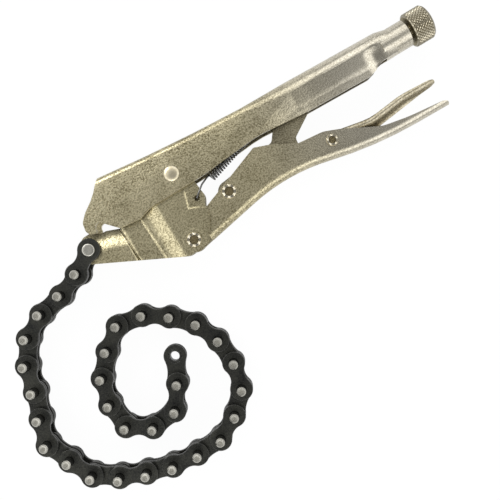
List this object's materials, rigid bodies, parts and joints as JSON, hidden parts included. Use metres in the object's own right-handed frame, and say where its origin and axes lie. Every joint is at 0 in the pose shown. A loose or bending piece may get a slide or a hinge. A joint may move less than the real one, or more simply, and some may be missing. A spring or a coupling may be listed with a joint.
{
  "type": "locking chain clamp",
  "caption": "Locking plier with a stamped body, toggle lever and adjusting screw, whose jaw carries a chain with long cross pins that catch in the hook at the front.",
  "frame": {"origin": "centre of the chain hook's round pocket, on the tool's middle plane", "axes": "+X along the adjusting screw towards its knurled head, +Y towards the back of the body, +Z across the tool towards the viewer, along every pivot and chain pin"},
  "size_m": [0.3076, 0.1641, 0.025],
  "materials": {
    "handle_plate": "satin nickel plate on stamped steel, fine grain",
    "jaw_plate": "satin nickel plate on stamped steel, fine grain",
    "link_steel": "satin nickel plate, shaded between the handles",
    "release_steel": "bright satin plate",
    "screw_steel": "bright plated, diamond knurl on the head",
    "rivet_steel": "bright drawn steel, crimped heads",
    "spring_wire": "dark oiled spring wire",
    "chain_oxide": "black oxide on steel plates, oiled",
    "pin_steel": "ground end faces, dark shank"
  },
  "bodies": {
    "body": {"body": "handle_plate", "jaw_rivet": "rivet_steel", "return_spring": "spring_wire"},
    "jaw": {"jaw": "jaw_plate", "lever_rivet": "rivet_steel", "anchor_rivet": "rivet_steel"},
    "lever": {"lever": "handle_plate", "link_rivet": "rivet_steel", "release_rivet": "rivet_steel"},
    "toggle_link": {"toggle_link": "link_steel"},
    "release_lever": {"release_lever": "release_steel"},
    "adjusting_screw": {"adjusting_screw": "screw_steel"},
    "chain_link_01": {"chain_link_01": "chain_oxide"},
    "chain_link_02": {"chain_link_02": "chain_oxide", "chain_pins_02": "pin_steel"},
    "chain_link_03": {"chain_link_03": "chain_oxide"},
    "chain_link_04": {"chain_link_04": "chain_oxide", "chain_pins_04": "pin_steel"},
    "chain_link_05": {"chain_link_05": "chain_oxide"},
    "chain_link_06": {"chain_link_06": "chain_oxide", "chain_pins_06": "pin_steel"},
    "chain_link_07": {"chain_link_07": "chain_oxide"},
    "chain_link_08": {"chain_link_08": "chain_oxide", "chain_pins_08": "pin_steel"},
    "chain_link_09": {"chain_link_09": "chain_oxide"},
    "chain_link_10": {"chain_link_10": "chain_oxide", "chain_pins_10": "pin_steel"},
    "chain_link_11": {"chain_link_11": "chain_oxide"},
    "chain_link_12": {"chain_link_12": "chain_oxide", "chain_pins_12": "pin_steel"},
    "chain_link_13": {"chain_link_13": "chain_oxide"},
    "chain_link_14": {"chain_link_14": "chain_oxide", "chain_pins_14": "pin_steel"},
    "chain_link_15": {"chain_link_15": "chain_oxide"},
    "chain_link_16": {"chain_link_16": "chain_oxide", "chain_pins_16": "pin_steel"},
    "chain_link_17": {"chain_link_17": "chain_oxide"},
    "chain_link_18": {"chain_link_18": "chain_oxide", "chain_pins_18": "pin_steel"},
    "chain_link_19": {"chain_link_19": "chain_oxide"},
    "chain_link_20": {"chain_link_20": "chain_oxide", "chain_pins_20": "pin_steel"},
    "chain_link_21": {"chain_link_21": "chain_oxide"},
    "chain_link_22": {"chain_link_22": "chain_oxide", "chain_pins_22": "pin_steel"},
    "chain_link_23": {"chain_link_23": "chain_oxide"},
    "chain_link_24": {"chain_link_24": "chain_oxide", "chain_pins_24": "pin_steel"},
    "chain_link_25": {"chain_link_25": "chain_oxide"},
    "chain_link_26": {"chain_link_26": "chain_oxide", "chain_pins_26": "pin_steel"},
    "chain_link_27": {"chain_link_27": "chain_oxide"},
    "chain_link_28": {"chain_link_28": "chain_oxide", "chain_pins_28": "pin_steel"},
    "chain_link_29": {"chain_link_29": "chain_oxide"},
    "chain_link_30": {"chain_link_30": "chain_oxide", "chain_pins_30": "pin_steel"},
    "chain_link_31": {"chain_link_31": "chain_oxide"}
  },
  "joints": [
    {"name": "jaw_pivot", "type": "hinge", "parent": "body", "child": "jaw", "pos_m": [0.048, 0.005, 0], "axis": [0, 0, 1], "range_deg": [0, 8.8], "deforming": ["return_spring"]},
    {"name": "lever_pivot", "type": "hinge", "parent": "jaw", "child": "lever", "pos_m": [0.04, -0.032, 0], "axis": [0, 0, 1], "range_deg": [-40, 0]},
    {"name": "link_pivot", "type": "hinge", "parent": "lever", "child": "toggle_link", "pos_m": [0.07, -0.019, 0], "axis": [0, 0, 1], "range_deg": [0, 48]},
    {"name": "release_pivot", "type": "hinge", "parent": "lever", "child": "release_lever", "pos_m": [0.133, -0.024, 0], "axis": [0, 0, 1], "range_deg": [-5, 0]},
    {"name": "screw_travel", "type": "slide", "parent": "body", "child": "adjusting_screw", "axis": [1, 0, 0], "range_m": [0, 0.018]},
    {"name": "chain_joint_00", "type": "hinge", "parent": "jaw", "child": "chain_link_01", "pos_m": [-0.0122, -0.0072, 0], "axis": [0, 0, -1], "range_deg": [-18, 95]},
    {"name": "chain_joint_01", "type": "hinge", "parent": "chain_link_01", "child": "chain_link_02", "pos_m": [-0.02492, -0.01515, 0], "axis": [0, 0, 1], "range_deg": [-34, 25]},
    {"name": "chain_joint_02", "type": "hinge", "parent": "chain_link_02", "child": "chain_link_03", "pos_m": [-0.03892, -0.02052, 0], "axis": [0, 0, -1], "range_deg": [-22, 32]},
    {"name": "chain_joint_03", "type": "hinge", "parent": "chain_link_03", "child": "chain_link_04", "pos_m": [-0.05354, -0.0239, 0], "axis": [0, 0, 1], "range_deg": [-55, 20]},
    {"name": "chain_joint_04", "type": "hinge", "parent": "chain_link_04", "child": "chain_link_05", "pos_m": [-0.06653, -0.0314, 0], "axis": [0, 0, -1], "range_deg": [-18, 66]},
    {"name": "chain_joint_05", "type": "hinge", "parent": "chain_link_05", "child": "chain_link_06", "pos_m": [-0.0747, -0.04398, 0], "axis": [0, 0, 1], "range_deg": [-56, 18]},
    {"name": "chain_joint_06", "type": "hinge", "parent": "chain_link_06", "child": "chain_link_07", "pos_m": [-0.07833, -0.05853, 0], "axis": [0, 0, -1], "range_deg": [-20, 37]},
    {"name": "chain_joint_07", "type": "hinge", "parent": "chain_link_07", "child": "chain_link_08", "pos_m": [-0.08321, -0.07272, 0], "axis": [0, 0, 1], "range_deg": [-48, 18]},
    {"name": "chain_joint_08", "type": "hinge", "parent": "chain_link_08", "child": "chain_link_09", "pos_m": [-0.08735, -0.08713, 0], "axis": [0, 0, -1], "range_deg": [-16, 75]},
    {"name": "chain_joint_09", "type": "hinge", "parent": "chain_link_09", "child": "chain_link_10", "pos_m": [-0.08125, -0.10084, 0], "axis": [0, 0, 1], "range_deg": [-42, 17]},
    {"name": "chain_joint_10", "type": "hinge", "parent": "chain_link_10", "child": "chain_link_11", "pos_m": [-0.07467, -0.11432, 0], "axis": [0, 0, -1], "range_deg": [-20, 67]},
    {"name": "chain_joint_11", "type": "hinge", "parent": "chain_link_11", "child": "chain_link_12", "pos_m": [-0.06223, -0.12271, 0], "axis": [0, 0, 1], "range_deg": [-58, 24]},
    {"name": "chain_joint_12", "type": "hinge", "parent": "chain_link_12", "child": "chain_link_13", "pos_m": [-0.04833, -0.12833, 0], "axis": [0, 0, -1], "range_deg": [-26, 44]},
    {"name": "chain_joint_13", "type": "hinge", "parent": "chain_link_13", "child": "chain_link_14", "pos_m": [-0.03391, -0.13246, 0], "axis": [0, 0, 1], "range_deg": [-52, 26]},
    {"name": "chain_joint_14", "type": "hinge", "parent": "chain_link_14", "child": "chain_link_15", "pos_m": [-0.01897, -0.13377, 0], "axis": [0, 0, -1], "range_deg": [-18, 43]},
    {"name": "chain_joint_15", "type": "hinge", "parent": "chain_link_15", "child": "chain_link_16", "pos_m": [-0.00397, -0.13325, 0], "axis": [0, 0, 1], "range_deg": [-68, 12]},
    {"name": "chain_joint_16", "type": "hinge", "parent": "chain_link_16", "child": "chain_link_17", "pos_m": [0.00915, -0.12597, 0], "axis": [0, 0, -1], "range_deg": [-9, 53]},
    {"name": "chain_joint_17", "type": "hinge", "parent": "chain_link_17", "child": "chain_link_18", "pos_m": [0.01994, -0.11555, 0], "axis": [0, 0, 1], "range_deg": [-30, 8]},
    {"name": "chain_joint_18", "type": "hinge", "parent": "chain_link_18", "child": "chain_link_19", "pos_m": [0.02356, -0.101, 0], "axis": [0, 0, -1], "range_deg": [-7, 29]},
    {"name": "chain_joint_19", "type": "hinge", "parent": "chain_link_19", "child": "chain_link_20", "pos_m": [0.02252, -0.08604, 0], "axis": [0, 0, 1], "range_deg": [-32, 8]},
    {"name": "chain_joint_20", "type": "hinge", "parent": "chain_link_20", "child": "chain_link_21", "pos_m": [0.0169, -0.07213, 0], "axis": [0, 0, -1], "range_deg": [-9, 40]},
    {"name": "chain_joint_21", "type": "hinge", "parent": "chain_link_21", "child": "chain_link_22", "pos_m": [0.00648, -0.06134, 0], "axis": [0, 0, 1], "range_deg": [-44, 14]},
    {"name": "chain_joint_22", "type": "hinge", "parent": "chain_link_22", "child": "chain_link_23", "pos_m": [-0.00596, -0.05295, 0], "axis": [0, 0, -1], "range_deg": [-14, 38]},
    {"name": "chain_joint_23", "type": "hinge", "parent": "chain_link_23", "child": "chain_link_24", "pos_m": [-0.02081, -0.05086, 0], "axis": [0, 0, 1], "range_deg": [-36, 10]},
    {"name": "chain_joint_24", "type": "hinge", "parent": "chain_link_24", "child": "chain_link_25", "pos_m": [-0.03279, -0.05989, 0], "axis": [0, 0, -1], "range_deg": [-10, 46]},
    {"name": "chain_joint_25", "type": "hinge", "parent": "chain_link_25", "child": "chain_link_26", "pos_m": [-0.04263, -0.07121, 0], "axis": [0, 0, 1], "range_deg": [-29, 10]},
    {"name": "chain_joint_26", "type": "hinge", "parent": "chain_link_26", "child": "chain_link_27", "pos_m": [-0.04651, -0.0857, 0], "axis": [0, 0, -1], "range_deg": [-13, 22]},
    {"name": "chain_joint_27", "type": "hinge", "parent": "chain_link_27", "child": "chain_link_28", "pos_m": [-0.04495, -0.10062, 0], "axis": [0, 0, 1], "range_deg": [-22, 23]},
    {"name": "chain_joint_28", "type": "hinge", "parent": "chain_link_28", "child": "chain_link_29", "pos_m": [-0.03237, -0.10879, 0], "axis": [0, 0, -1], "range_deg": [-30, 34]},
    {"name": "chain_joint_29", "type": "hinge", "parent": "chain_link_29", "child": "chain_link_30", "pos_m": [-0.01748, -0.10696, 0], "axis": [0, 0, 1], "range_deg": [-31, 30]},
    {"name": "chain_joint_30", "type": "hinge", "parent": "chain_link_30", "child": "chain_link_31", "pos_m": [-0.00866, -0.09482, 0], "axis": [0, 0, -1], "range_deg": [-30, 50]}
  ],
  "couplings": [
    {"joint": "jaw_pivot", "follows": "lever_pivot", "ratio": -0.22},
    {"joint": "link_pivot", "follows": "lever_pivot", "ratio": -1.2}
  ]
}
